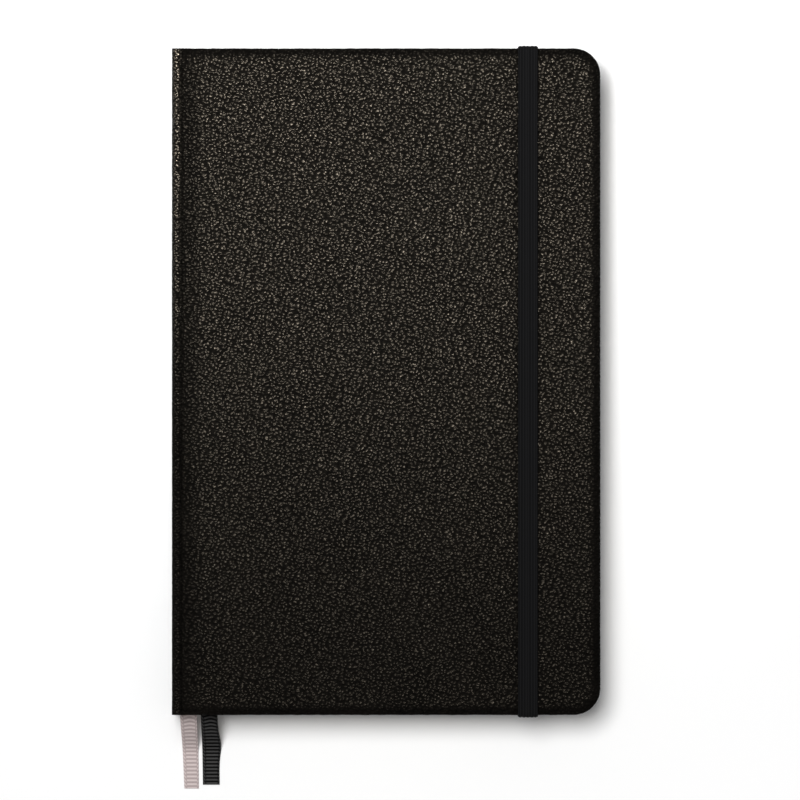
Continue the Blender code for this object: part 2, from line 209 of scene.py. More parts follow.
def add_piece(name, points, faces, body, finish, surface=None, shine_and_painted_shade=None, crease=None):
    """A mesh piece from points in millimetres that rides on a body.

    Surface holds the points' places on the piece laid flat, the shine list their share of the finish's
    shine, which carries painted shade where it is low, and crease the angle in degrees above which edges
    stay sharp.
    """
    mesh = bpy.data.meshes.new(name)
    mesh.from_pydata((np.asarray(points) * MM).tolist(), [], faces)
    if surface is not None:
        layer = mesh.uv_layers.new(name="surface")
        corner = np.zeros(len(mesh.loops), int)
        mesh.loops.foreach_get("vertex_index", corner)
        layer.data.foreach_set("uv", np.asarray(surface)[corner].ravel())
    if shine_and_painted_shade is not None:
        mesh.attributes.new("shine_and_painted_shade", "FLOAT", "POINT").data.foreach_set("value", np.asarray(shine_and_painted_shade))
    mesh.materials.append(finish)
    if crease != 0:
        mesh.shade_smooth()
    if crease:
        mesh.set_sharp_from_angle(angle=math.radians(crease))
    piece = bpy.data.objects.new(name, mesh)
    bpy.context.scene.collection.objects.link(piece)
    if body:
        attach(piece, body)
    return piece


def grid_faces(rows, columns, start=0, flip=False, close=False):
    """Quads of a grid whose points are numbered row by row."""
    last = columns if close else columns - 1
    r, c = np.meshgrid(np.arange(rows - 1), np.arange(last), indexing="ij")
    here, there = r * columns, (r + 1) * columns
    after = (c + 1) % columns
    quads = np.stack([here + c, here + after, there + after, there + c], -1).reshape(-1, 4) + start
    return (quads[:, ::-1] if flip else quads).tolist()


def ring_faces(first, second):
    """Quads between two closed loops of the same length."""
    after_first, after_second = np.roll(first, -1), np.roll(second, -1)
    return np.stack([first, second, after_second, after_first], -1).tolist()


def border(rows, columns):
    """The points round a grid: along its first row, up its last column, back and down again."""
    index = np.arange(rows * columns).reshape(rows, columns)
    return np.concatenate([index[0, :-1], index[:-1, -1], index[-1, :0:-1], index[:0:-1, 0]])


def turned(faces):
    """The same faces looking the other way."""
    return [face[::-1] for face in faces]


def tube(sections):
    """Points and faces of a closed skin over cross-sections with the same number of points."""
    rows, columns, _ = sections.shape
    faces = grid_faces(rows, columns, close=True)
    faces.append(list(range(columns))[::-1])
    faces.append(list(range((rows - 1) * columns, rows * columns)))
    return sections.reshape(-1, 3), faces


def repeated(section, stations, run=1):
    """A flat section put down at each station along the axis run."""
    sections = np.zeros((len(stations), len(section), 3))
    first, second = (axis for axis in (0, 1, 2) if axis != run)
    sections[:, :, first] = section[None, :, 0]
    sections[:, :, second] = section[None, :, 1]
    sections[:, :, run] = stations[:, None]
    return sections


def slab(x, y, top, bottom):
    """Points and faces of a closed sheet between two levels over a grid."""
    rows, columns = x.shape
    points = np.concatenate([np.stack([x, y, level], -1).reshape(-1, 3) for level in (top, bottom)])
    faces = grid_faces(rows, columns) + grid_faces(rows, columns, rows * columns, flip=True)
    loop = border(rows, columns)
    faces += ring_faces(loop, loop + rows * columns)
    return points, faces


def joined(solids):
    """One list of points and one of faces out of several of each."""
    points, faces, count = [], [], 0
    for solid_points, solid_faces in solids:
        faces += [[corner + count for corner in face] for face in solid_faces]
        points.append(solid_points)
        count += len(solid_points)
    return np.concatenate(points), faces


def sheet_rows(half, radius, step, corner_steps):
    """Places along the book's height: even in the middle, and closer where the corners turn."""
    straight = half - radius
    count = max(2, int(round(2 * straight / step)))
    middle = np.linspace(-straight, straight, count + 1)
    turn = straight + radius * np.sin(np.linspace(0, math.pi / 2, corner_steps + 1)[1:])
    return np.concatenate([-turn[::-1], middle, turn])


def right_limit(y, right, half, radius):
    """How far a sheet with rounded corners reaches at each height."""
    over = np.clip(np.abs(y) - (half - radius), 0, radius)
    return right - radius + np.sqrt(np.maximum(radius**2 - over**2, 0))


def sheet_grid(left, right, half, radius, step, corner_steps=14):
    """x and y of a grid that fills a sheet with square corners at the left and round ones at the right."""
    y = sheet_rows(half, radius, step, corner_steps)
    count = int(round((right - left) / step)) + 1
    flat_x = left + (right - left) * np.linspace(0, 1, count)
    pull = smooth(flat_x, right - 2.5 * radius, right)
    limit = right_limit(y, right, half, radius)
    x = flat_x[None, :] - pull[None, :] * (right - limit)[:, None]
    return x, np.repeat(y[:, None], count, axis=1)


def edge_distance(x, y, right, half, radius):
    """Distance to the nearest free edge of a sheet with round fore-edge corners."""
    corner_x = x - (right - radius)
    corner_y = np.abs(y) - (half - radius)
    in_corner = (corner_x > 0) & (corner_y > 0)
    straight = np.minimum(right - x, half - np.abs(y))
    return np.where(in_corner, radius - np.hypot(corner_x, corner_y), straight)


# ---------------------------------------------------------------- finishes

class Finish:
    """A material in the making: its shader, with short ways to add nodes and values to it."""

    def __init__(self, name):
        self.material = bpy.data.materials.new(name)
        self.material.use_nodes = True
        self.tree = self.material.node_tree
        self.shader = self.tree.nodes["Principled BSDF"]

    def feed(self, socket, value):
        """Puts a value or another node's output into a socket."""
        if isinstance(value, bpy.types.NodeSocket):
            self.tree.links.new(value, socket)
        else:
            socket.default_value = value

    def node(self, kind, inputs=None, **settings):
        """A new node with its inputs filled."""
        made = self.tree.nodes.new("ShaderNode" + kind)
        for key, value in settings.items():
            setattr(made, key, value)
        for key, value in (inputs or {}).items():
            self.feed(made.inputs[key], value)
        return made

    def calc(self, operation, *values):
        """The outcome of a calculation."""
        return self.node("Math", dict(enumerate(values)), operation=operation).outputs[0]

    def noise(self, where, scale, detail, distortion=0.0):
        """Cloudy noise, from 0 to 1."""
        inputs = {"Vector": where, "Scale": scale, "Detail": detail, "Distortion": distortion}
        return self.node("TexNoise", inputs)

    def wave(self, where, scale, direction, distortion=0.0):
        """Even stripes across a direction, from 0 to 1."""
        inputs = {"Vector": where, "Scale": scale, "Distortion": distortion}
        return self.node("TexWave", inputs, bands_direction=direction).outputs["Fac"]

    def cells(self, where, scale, randomness=1.0):
        """Distance to the middle of the nearest of many scattered cells."""
        inputs = {"Vector": where, "Scale": scale, "Randomness": randomness}
        return self.node("TexVoronoi", inputs, voronoi_dimensions="2D").outputs["Distance"]

    def between(self, value, start, end, low, high):
        """Low where the value is at its start, high where it is at its end."""
        limits = {"From Min": start, "From Max": end, "To Min": low, "To Max": high}
        return self.node("MapRange", {"Value": value, **limits}).outputs["Result"]

    def flat_places(self):
        """Places on the piece laid flat, in millimetres."""
        return self.node("UVMap", uv_map="surface").outputs["UV"]

    def places(self, turn=0.0):
        """Places on the piece in space, in millimetres."""
        source = self.node("TexCoord").outputs["Object"]
        inputs = {"Vector": source, "Scale": [1 / MM] * 3, "Rotation": (0, 0, turn)}
        return self.node("Mapping", inputs).outputs["Vector"]

    def ramp(self, value, *stops):
        """The colour that goes with a value, from two stops of a place and a colour."""
        made = self.node("ValToRGB", {"Fac": value})
        for element, (position, colour) in zip(made.color_ramp.elements, stops):
            element.position = position
            element.color = (*colour, 1)
        return made.outputs["Color"]

    def relief(self, height, depth, strength=1.0):
        """Bumps whose height from 0 to 1 is as deep as depth, in millimetres."""
        made = self.node("Bump", {"Height": height, "Strength": strength, "Distance": depth * MM})
        self.feed(self.shader.inputs["Normal"], made.outputs["Normal"])

    def surface(self, colour, roughness, specular):
        """Fills in the shader and hands over the material."""
        self.feed(self.shader.inputs["Base Color"], colour)
        self.feed(self.shader.inputs["Roughness"], roughness)
        self.feed(self.shader.inputs["Specular IOR Level"], specular)
        return self.material


def leather_finish(name, gloss, fineness):
    """Black pebbled leather: domes with shining tops, rougher creases between them with painted shade (less
    shine) and a warm sheen.
    """
    pebbles_across, pebbles_along = 1.3 * fineness, 1.62 * fineness
    dome_drop, bud_drop, swell_rise, pit_depth = 0.36 / fineness, 0.07, 0.35, 0.03
    finish = Finish(name)
    where = finish.flat_places()
    swirl = finish.noise(where, 0.42, 1.0).outputs["Color"]
    inputs = {0: swirl, 1: (1.1, 1.1, 1.1), 2: where}
    swayed = finish.node("VectorMath", inputs, operation="MULTIPLY_ADD").outputs[0]
    inputs = {"Vector": swayed, "Scale": (pebbles_across, pebbles_along, 1), "Rotation": (0, 0, 0.35)}
    lay = finish.node("Mapping", inputs).outputs[0]
    dome = finish.calc("POWER", finish.cells(lay, 1.0, 0.8), 2.0)
    bud = finish.calc("POWER", finish.cells(lay, 2.3), 2.0)
    swell = finish.noise(where, 0.5, 2.0).outputs["Fac"]
    pits = finish.noise(where, 5.0, 2.0).outputs["Fac"]
    height = finish.calc("MULTIPLY", dome, -dome_drop)
    height = finish.calc("MULTIPLY_ADD", bud, -bud_drop, height)
    height = finish.calc("MULTIPLY_ADD", swell, swell_rise, height)
    height = finish.calc("MULTIPLY_ADD", pits, pit_depth, height)
    finish.relief(height, 1.0)
    patches = finish.noise(where, 0.08, 3.0).outputs["Fac"]
    tone = finish.ramp(patches, (0.3, (0.0030, 0.0027, 0.0024)), (0.7, (0.0046, 0.0040, 0.0034)))
    rough = finish.between(dome, 0.0, 0.22, 0.2, 0.5)
    # painted shade: less shine in the creases between the domes, where shade falls
    shine = finish.between(dome, 0.0, 0.14, 0.58 * gloss, 0.1)
    # painted shade: each point's share of shine, lowered at the edges, in the joint, by the band and
    # towards the tail
    painted_shade_shine = finish.node("Attribute", attribute_name="shine_and_painted_shade").outputs["Fac"]
    finish.shader.inputs["Specular Tint"].default_value = (1.0, 0.86, 0.68, 1.0)
    return finish.surface(tone, rough, finish.calc("MULTIPLY", shine, painted_shade_shine))


def elastic_finish():
    """Matt black covered rubber: fine ribs along the band and the slant of the yarn across them."""
    finish = Finish("corded_elastic")
    where = finish.places()
    ribs = finish.wave(where, 0.55, "X", 0.6)
    slant = finish.wave(finish.places(turn=0.9), 0.9, "Y", 1.0)
    fuzz = finish.noise(where, 9.0, 3.0).outputs["Fac"]
    yarn = finish.calc("MULTIPLY_ADD", slant, 0.5, ribs)
    finish.relief(finish.calc("MULTIPLY_ADD", fuzz, 0.6, yarn), 0.1, 0.5)
    tone = finish.ramp(yarn, (0.2, (0.0018, 0.0018, 0.0020)), (1.0, (0.0062, 0.0062, 0.0067)))
    return finish.surface(tone, 0.75, 0.07)


def ribbon_finish(name, low, high, pitch, specular):
    """Grosgrain: ribs across the ribbon whose crests are painted lighter and hollows darker (painted
    highlight and shade), a sunk seam on each side with painted shade in it and a slanting weave in the
    selvedges.
    """
    finish = Finish(name)
    where = finish.flat_places()
    parts = finish.node("SeparateXYZ", {"Vector": where})
    turn = 2 * math.pi / pitch
    side = finish.calc("ABSOLUTE", finish.calc("SUBTRACT", parts.outputs["X"], RIBS_OFF_CENTRE))
    turns = finish.calc("MULTIPLY", parts.outputs["Y"], turn)
    rib = finish.calc("COSINE", turns)
    weave = finish.calc("COSINE", finish.calc("MULTIPLY_ADD", side, turn, turns))
    at_side = finish.between(side, RIBS_END - 0.06, RIBS_END + 0.06, 0.0, 1.0)
    threads = finish.node("Mix", {"Factor": at_side, "A": rib, "B": weave}).outputs["Result"]
    fuzz = finish.noise(where, 6.0, 3.0).outputs["Fac"]
    # painted highlight on the rib crests and painted shade between them, in step with the ribs' relief,
    # plus random fuzz
    tone_and_painted_light = finish.calc("MULTIPLY_ADD", threads, 0.35, 0.42)
    tone_and_painted_light = finish.calc("ADD", tone_and_painted_light, finish.calc("MULTIPLY_ADD", fuzz, 0.4, -0.2))
    # painted shade along the sunk seam
    seam = finish.calc("COMPARE", side, RIBS_END, 0.075)
    tone_and_painted_light = finish.calc("MULTIPLY_ADD", seam, -0.4, tone_and_painted_light)
    finish.relief(finish.calc("MULTIPLY_ADD", weave, 0.5, fuzz), 0.04, 0.4)
    return finish.surface(finish.ramp(tone_and_painted_light, low, high), 0.65, specular)


def paper_finish(name, colour, ruled):
    """Ivory paper with a faint tooth, and ruled lines on the faces of writing leaves."""
    ink = (0.45, 0.43, 0.40, 1)
    half_line = 0.09
    finish = Finish(name)
    where = finish.flat_places() if ruled else finish.places()
    tooth = finish.noise(where, 5.0, 4.0).outputs["Fac"]
    tone = finish.ramp(tooth, (0.3, tuple(c * 0.95 for c in colour)), (0.7, colour))
    if ruled:
        parts = finish.node("SeparateXYZ", {"Vector": where})
        cycle = finish.calc("PINGPONG", parts.outputs["Y"], RULE_PITCH)
        line = finish.calc("LESS_THAN", cycle, half_line)
        below = finish.calc("LESS_THAN", parts.outputs["Y"], RULES_TOP)
        inside = finish.calc("LESS_THAN", parts.outputs["X"], RULES_END)
        shown = finish.calc("MULTIPLY", finish.calc("MULTIPLY", line, below), inside)
        mix = finish.node("Mix", {"Factor": shown}, data_type="RGBA")
        finish.feed(mix.inputs["A"], tone)
        finish.feed(mix.inputs["B"], ink)
        tone = mix.outputs["Result"]
    finish.relief(tooth, 0.04, 0.15)
    return finish.surface(tone, 0.8, 0.25)


def board_finish():
    """Grey board with fibres and specks."""
    finish = Finish("grey_board")
    fibres = finish.noise(finish.places(), 2.5, 6.0, 1.2).outputs["Fac"]
    finish.relief(fibres, 0.1, 0.4)
    tone = finish.ramp(fibres, (0.3, (0.24, 0.22, 0.19)), (0.7, (0.38, 0.36, 0.32)))
    return finish.surface(tone, 0.9, 0.5)


def cloth_finish():
    """Open-weave lining cloth."""
    finish = Finish("lining_cloth")
    where = finish.places()
    weave = finish.calc("MAXIMUM", finish.wave(where, 0.7, "Y"), finish.wave(where, 0.7, "Z"))
    finish.relief(weave, 0.1, 0.6)
    tone = finish.ramp(weave, (0.4, (0.42, 0.38, 0.30)), (0.9, (0.74, 0.71, 0.63)))
    return finish.surface(tone, 0.85, 0.5)


def thread_finish():
    """Waxed linen thread with its twist."""
    finish = Finish("waxed_thread")
    twist = finish.wave(finish.places(turn=0.6), 1.2, "Z", 0.5)
    finish.relief(twist, 0.05, 0.5)
    tone = finish.ramp(twist, (0.2, (0.55, 0.50, 0.40)), (0.8, (0.85, 0.81, 0.71)))
    return finish.surface(tone, 0.55, 0.5)


# ---------------------------------------------------------------- leather case

def valley(x):
    """How far the leather dips in the joint beside the spine, and under the spine's lip."""
    tuck = 0.45 * (1 - smooth(x, SPLIT_X - TUCK, SPLIT_X + 0.5))
    return JOINT_DIP * (1 - smooth(x, SPLIT_X + 0.3, BOARD_X + 0.6)) + tuck


def from_band(x, inside, outside):
    """0 under the elastic and 1 beside it, the step given by distances from the elastic's edge."""
    return smooth(np.abs(x - BAND_X), BAND_WIDTH / 2 + inside, BAND_WIDTH / 2 + outside)


def cover_depth(x, y, back):
    """Depth of the leather's face under the cover's outer plane."""
    inset = EDGE_RADIUS
    from_edge = edge_distance(x, y, FORE_X - inset, HALF_HEIGHT - inset, CORNER - inset)
    fall = EDGE_DROP * (1 - smooth(from_edge, -0.35, 1.6))
    calm = 0.2 + 0.8 * smooth(from_edge, 0.3, 1.8)
    pressed = BAND_PRESS * (1 - from_band(x, -0.4, 1.3))
    depth = fall + pressed + valley(x) + GRAIN_LEVEL - grain(x, y) * calm
    if back:
        across = 1 - from_band(x, 0.05, 0.3)
        along = smooth(np.abs(y), HALF_HEIGHT - CHANNEL_LENGTH, HALF_HEIGHT - CHANNEL_LENGTH + 0.3)
        depth = depth + CHANNEL_DEPTH * across * along
    return depth


def cover_painted_shade(x, y):
    """Share of shine left on the leather: the face gleams; painted shade lowers it at the edges, in the
    joint, under and beside the band and towards the tail.
    """
    from_edge = edge_distance(x, y, FORE_X, HALF_HEIGHT, CORNER)
    # painted shade where the face falls away at its edges
    face = 0.12 + 0.88 * smooth(from_edge, 1.0, 2.4)
    # painted shade in the joint's valley beside the spine
    joint = 0.35 + 0.65 * smooth(x, SPLIT_X + 0.6, BOARD_X + 1.2)
    # painted contact shadow under and just beside the elastic band
    track = 0.5 + 0.5 * from_band(x, -0.3, 0.9)
    # painted shade: less shine towards the tail, as the light falls off
    painted_tail_shade = 0.36 + 0.64 * smooth(y, -HALF_HEIGHT, 30.0)
    return face * joint * track * painted_tail_shade


def outward_directions(edge, rows, columns):
    """Which way a cover's edge points face: down the tail, out at the fore-edge and up the head."""
    outward = np.zeros((len(edge), 2))
    outward[:columns] = (0, -1)
    fore = slice(columns, columns + rows - 2)
    y = edge[fore, 1]
    over = np.clip(np.abs(y) - (HALF_HEIGHT - CORNER), 0, None) * np.sign(y)
    along = edge[fore, 0] - (FORE_X - CORNER)
    outward[fore] = np.stack([along, over], -1) / np.hypot(over, along)[:, None]
    outward[columns + rows - 2:2 * columns + rows - 2] = (0, 1)
    return outward


def edge_profile(edge, floor, uneven):
    """How far out and how deep the leather lies on its way round the board's edge, step by step."""
    room = np.maximum(floor - edge[:, 2], LEATHER * 0.8)
    upper = np.minimum(EDGE_RADIUS, 0.5 * room)
    lower = np.minimum(LOWER_RADIUS, 0.3 * room)
    top, bottom = edge[:, 2] + upper, floor - lower
    steps = []
    for angle in np.radians([22.5, 45, 67.5, 90]):
        steps.append((EDGE_RADIUS * math.sin(angle) + uneven, top - upper * math.cos(angle)))
    for share in (0.33, 0.66, 1.0):
        hollow = 0.04 * (1 - abs(2 * share - 1))
        steps.append((EDGE_RADIUS - hollow + uneven, top + (bottom - top) * share))
    for angle in np.radians([30, 60, 90]):
        out = EDGE_RADIUS - lower * (1 - math.cos(angle))
        steps.append((out + uneven, bottom + lower * np.sin(angle)))
    return steps


def cover_leather(name, node, body, back, step, finish):
    """The leather of one cover: grained face, rounded edges, turn-in and the strip that bends."""
    inset = EDGE_RADIUS
    x, y = sheet_grid(SPLIT_X - TUCK, FORE_X - inset, HALF_HEIGHT - inset, CORNER - inset, step)
    face = np.stack([x, y, cover_depth(x, y, back)], -1).reshape(-1, 3)
    loop = border(*x.shape)
    edge = face[loop]
    outward = outward_directions(edge, *x.shape)
    on_board = smooth(edge[:, 0], BOARD_X - 0.5, BOARD_X)
    under = JOINT_DIP + LEATHER + GRAIN_LEVEL
    floor = under + (TURN_IN_FACE - under) * on_board

    rings = [face]
    surface = [face[:, :2]]
    travel = np.zeros(len(loop))
    before = edge
    for out, level in edge_profile(edge, floor, 0.03 * drift(loop * 0.11, loop * 0.0, 0.5, 4)):
        ring = np.column_stack([edge[:, :2] + outward * out[:, None], level])
        travel = travel + np.linalg.norm(ring - before, axis=1)
        surface.append(edge[:, :2] + outward * travel[:, None])
        rings.append(ring)
        before = ring
    for level in (floor, floor - 0.25 * on_board):
        inner_x = np.clip(edge[:, 0], BOARD_X - 0.2, FORE_X - TURN_IN_WIDTH)
        inner_y = np.clip(edge[:, 1], TURN_IN_WIDTH - HALF_HEIGHT, HALF_HEIGHT - TURN_IN_WIDTH)
        rings.append(np.column_stack([inner_x, inner_y, level]))
        surface.append(rings[-1][:, :2])

    faces = grid_faces(*x.shape)
    for number in range(len(rings) - 1):
        current = len(face) + number * len(loop) + np.arange(len(loop))
        faces += ring_faces(loop, current)
        loop = current
    points = np.concatenate(rings)
    # share of shine with painted shade at the edges, in the joint, by the band and towards the tail
    shine_and_painted_shade = cover_painted_shade(points[:, 0], points[:, 1])
    if back:
        faces = turned(faces)
    else:
        points[:, 2] = THICKNESS - points[:, 2]
    piece = add_piece(name, points, faces, body, finish, np.concatenate(surface), shine_and_painted_shade)
    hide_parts(node)


def board_panel(name, node, body, back, finish):
    """A cover board whose outer edges are eased so that the leather rolls over them."""
    low, high = node_box(node)
    x, y = sheet_grid(low[0], high[0], high[1], BOARD_CORNER, 1.0)
    from_edge = edge_distance(x, y, high[0], high[1], BOARD_CORNER)
    eased = BOARD_EASING * (1 - smooth(from_edge, -0.2, 1.8))
    if back:
        points, faces = slab(x, y, low[2] + eased, np.full(x.shape, high[2]))
        faces = turned(faces)
    else:
        points, faces = slab(x, y, high[2] - eased, np.full(x.shape, low[2]))
    piece = add_piece(name, points, faces, body, finish, crease=40)
    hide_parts(node)


def spine_section():
    """The spine leather's outer face in x and z: lip, roll, wall, roll and lip."""
    roll_x, roll_z = SPINE_ROLL
    end_x = SPLIT_X - 0.05
    centre_x = SPINE_LOW[0] + roll_x
    dip = np.linspace(end_x, centre_x + 0.1, 6)
    turn = np.radians(np.linspace(90, 180, 14))
    lip = np.stack([dip, -0.3 * smooth(dip, centre_x, end_x)], -1)
    roll = np.stack([centre_x + roll_x * np.cos(turn), roll_z * (np.sin(turn) - 1)], -1)
    side = np.linspace(SPINE_HIGH[2] - roll_z, SPINE_LOW[2] + roll_z, 34)[1:-1]
    upper = np.concatenate([lip, roll]) + (0, SPINE_HIGH[2])
    wall = np.stack([np.full(len(side), SPINE_LOW[0]), side], -1)
    lower = (upper * (1, -1) + (0, SPINE_HIGH[2] + SPINE_LOW[2]))[::-1]
    return np.concatenate([upper, wall, lower])


def spine_turn_in(end):
    """The spine leather's flap at the head (1) or the tail (-1), folded over the stiff strip's end."""
    low, high = node_box("spine_board")
    skin = FLAP_LEATHER
    board_x, board_y = high[0] + CLEAR, high[1] + CLEAR
    inner_x = high[0] + skin + CLEAR
    outer_x = SPINE_LOW[0] + LEATHER - CLEAR
    top = HALF_HEIGHT - 0.02
    outline = [(outer_x, board_y), (outer_x, top)]
    for turn in np.linspace(0, math.pi / 2, 6):
        outline.append((inner_x - skin + skin * math.sin(turn), top - skin + skin * math.cos(turn)))
    outline += [(inner_x, top - SPINE_FLAP), (board_x, top - SPINE_FLAP), (board_x, board_y)]
    stations = np.linspace(low[2] - 0.15, high[2] + 0.15, 40)
    points, faces = tube(repeated(np.array(outline) * (1, end), stations, run=2))
    return points, turned(faces) if end > 0 else faces


def spine_leather(finish):
    """The leather over the spine: a soft roll at each edge that dips into the joint, and both turn-ins."""
    outer = spine_section()
    normal = -left_of(outer)
    inner = outer - normal * LEATHER
    girth = lengths_along(outer)
    rows = np.linspace(-HALF_HEIGHT, HALF_HEIGHT, int(2 * HALF_HEIGHT / 0.4) + 1)
    sections, surface = [], []
    for y in rows:
        relief = grain(girth + 60.0, np.full_like(girth, y)) - GRAIN_LEVEL
        section = np.concatenate([outer + normal * relief[:, None], inner[::-1]])
        along = np.full(len(section), y)
        sections.append(np.stack([section[:, 0], along, section[:, 1]], -1))
        surface.append(np.stack([np.concatenate([girth, girth[::-1]]), along], -1))
    skin, skin_faces = tube(np.array(sections))
    # painted shade: the spine's shine falls away towards the tail, as the light does
    spine_painted_tail_shade = 0.07 + 0.93 * smooth(skin[:, 1], -0.25 * HALF_HEIGHT, HALF_HEIGHT)
    # painted shade: less shine on the spine's outer wall and the foot of its roll
    painted_wall_shade = 0.16 + 0.84 * smooth(skin[:, 0], SPINE_LOW[0] + 0.1, SPINE_LOW[0] + 0.7)
    solids, shine_and_painted_shade = [(skin, skin_faces)], [spine_painted_tail_shade * painted_wall_shade]
    for end in (1, -1):
        flap, flap_faces = spine_turn_in(end)
        solids.append((flap, flap_faces))
        shine_and_painted_shade.append(np.full(len(flap), 0.08))
        surface.append(np.stack([flap[:, 0] - end * flap[:, 1], flap[:, 2]], -1))
    points, faces = joined(solids)
    flat, shine = np.concatenate(surface), np.concatenate(shine_and_painted_shade)
    piece = add_piece("spine_leather", points, faces, "spine", finish, flat, shine)
    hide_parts("spine_skin")


def back_joint_leather(finish):
    """The bend of the leather between the back cover and the spine, a thin strip that rides on no body."""
    left, right = SPINE_LOW[0] + 0.1, SPLIT_X + 0.05
    half, margin = 0.13, 0.05
    x = np.linspace(left, right, 9)
    level = 0.24 + 0.1 * smooth(x, right - 0.6, right) + 0.22 * (1 - smooth(x, left, left + 0.9))
    section = np.concatenate([np.stack([x, level + half], -1), np.stack([x, level - half], -1)[::-1]])
    solid = repeated(section, np.linspace(margin - HALF_HEIGHT, HALF_HEIGHT - margin, 141))
    solid[:, :, 2] += 0.02 * drift(solid[:, :, 0], solid[:, :, 1], 1.5, 12)
    points, faces = tube(solid)
    shine_and_painted_shade = np.full(len(points), 0.15)
    piece = add_piece("back_joint_leather", points, faces, None, finish, points[:, :2], shine_and_painted_shade)
    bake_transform(piece)


# ---------------------------------------------------------------- leaves

def folded_sheet(gap, leaf, rank, jitter, fold_tip, middle_z):
    """Middle line of a folded sheet in x and z: lower leaf, fold and upper leaf."""
    half = gap + (rank + 0.5) * leaf
    centre = fold_tip + half + 0.5 * leaf
    fore = LEAF_HIGH[0] + jitter
    lower = [(x, middle_z - half) for x in np.linspace(fore, centre, 12)]
    turn = [
        (centre - half * math.cos(a), middle_z - half * math.sin(a))
        for a in np.linspace(math.pi / 2, -math.pi / 2, 9)[1:-1]
    ]
    upper = [(x, middle_z + half) for x in np.linspace(centre, fore, 12)]
    return np.array(lower + turn + upper)


def leaf_solid(path, leaf, jitter):
    """Points and faces of paper that follows a path in x and z, with its fore-edge corners rounded."""
    half = LEAF_HIGH[1] + jitter
    rows = sheet_rows(half, LEAF_CORNER, 12.0, 7)
    limit = right_limit(rows, LEAF_HIGH[0], half, LEAF_CORNER)
    offset = left_of(path) * 0.46 * leaf
    solid = repeated(np.concatenate([path + offset, (path - offset)[::-1]]), rows)
    pull = smooth(solid[0, :, 0], LEAF_HIGH[0] - 3 * LEAF_CORNER, LEAF_HIGH[0])
    solid[:, :, 0] -= pull[None, :] * (LEAF_HIGH[0] - limit)[:, None]
    return tube(solid)


def uneven_sheet(gap, leaf, rank, salt, fold_x, middle_z):
    """One folded sheet of a gathering, cut a hair longer or shorter than the next."""
    jitter = 0.07 * (scatter(rank, salt, 3) - 0.5)
    path = folded_sheet(gap, leaf, rank, jitter, fold_x + (SHEETS - 1 - rank) * leaf, middle_z)
    return leaf_solid(path, leaf, 0.05 * (scatter(rank, salt, 5) - 0.5))


def gathering(number, finish):
    """Four folded sheets, one inside another, sewn together."""
    node = f"signature_{number:02d}"
    body = f"front_leaves_{number}" if number <= 5 else f"rear_leaves_{number}"
    low, high = node_box(node)
    leaf = (high[2] - low[2]) / (2 * SHEETS)
    middle_z = (low[2] + high[2]) / 2
    sheets = [uneven_sheet(0.0, leaf, rank, number, low[0], middle_z) for rank in range(SHEETS)]
    points, faces = joined(sheets)
    piece = add_piece(f"gathering_{number:02d}", points, faces, body, finish, points[:, :2], crease=0)
    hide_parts(node)


def middle_gathering(finish):
    """The middle gathering's sheets, each one piece of paper that crosses the fold between the halves."""
    low, high = node_box("centre_leaves_rear")
    gap = MIDDLE - high[2]
    leaf = (high[2] - low[2]) / SHEETS
    for rank in range(SHEETS):
        points, faces = uneven_sheet(gap, leaf, rank, 40, low[0], MIDDLE)
        piece = add_piece(f"middle_sheet_{rank + 1}", points, faces, None, finish, points[:, :2], crease=0)
        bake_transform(piece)
        if rank == 0:
            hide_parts("centre_leaves_front", "centre_leaves_rear")


def flat_leaf(name, node, body, finish, cockle):
    """A single sheet with rounded fore-edge corners and a slight cockle."""
    low, high = node_box(node)
    x, y = sheet_grid(low[0], high[0], high[1], LEAF_CORNER, 2.0, 8)
    half = 0.4 * (high[2] - low[2])
    level = (low[2] + high[2]) / 2 + cockle * drift(x, y, 25.0, 6)
    points, faces = slab(x, y, level + half, level - half)
    piece = add_piece(name, points, faces, body, finish, crease=40)
    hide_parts(node)


def joint_paper(name, body, front, finish):
    """The endpaper's strip that runs from the board down into the joint."""
    start_x, end_x = PASTE_LOW[0] + 0.2, SPLIT_X + 0.08
    start_z = (PASTE_LOW[2] + PASTE_HIGH[2]) / 2
    end_z = THICKNESS - JOINT_DIP - LEATHER - 0.14
    share = np.arange(15) / 14
    fall = smooth(share, 0.0, 0.45)
    path = np.stack([start_x + (end_x - start_x) * share, start_z + (end_z - start_z) * fall], -1)
    offset = left_of(path) * 0.05
    section = np.concatenate([path + offset, (path - offset)[::-1]])
    if not front:
        section[:, 1] = THICKNESS - section[:, 1]
    points, faces = tube(repeated(section, np.linspace(-PASTE_HIGH[1], PASTE_HIGH[1], 12)))
    piece = add_piece(name, points, turned(faces) if front else faces, body, finish, crease=50)


# ---------------------------------------------------------------- bands

def even_path(path, step):
    """Even stations along a path in y and z, their places and their sideways directions."""
    path = np.array(path)
    lengths = lengths_along(path)
    stations = np.linspace(0, lengths[-1], int(round(lengths[-1] / step)) + 1)
    places = np.stack([np.interp(stations, lengths, path[:, k]) for k in (0, 1)], -1)
    return stations, places, -left_of(places)


def band_solid(places, normal, middle_x, across, relief):
    """A flat band whose two faces stand out by the relief at each station and each place across it."""
    sideways = np.concatenate([across, across[::-1]])
    level = np.concatenate([relief, -relief[:, ::-1]], axis=1)
    solid = np.zeros((len(places), len(sideways), 3))
    solid[:, :, 0] = middle_x[:, None] + sideways[None, :]
    solid[:, :, 1] = places[:, 0:1] + normal[:, 0:1] * level
    solid[:, :, 2] = places[:, 1:2] + normal[:, 1:2] * level
    return tube(solid)


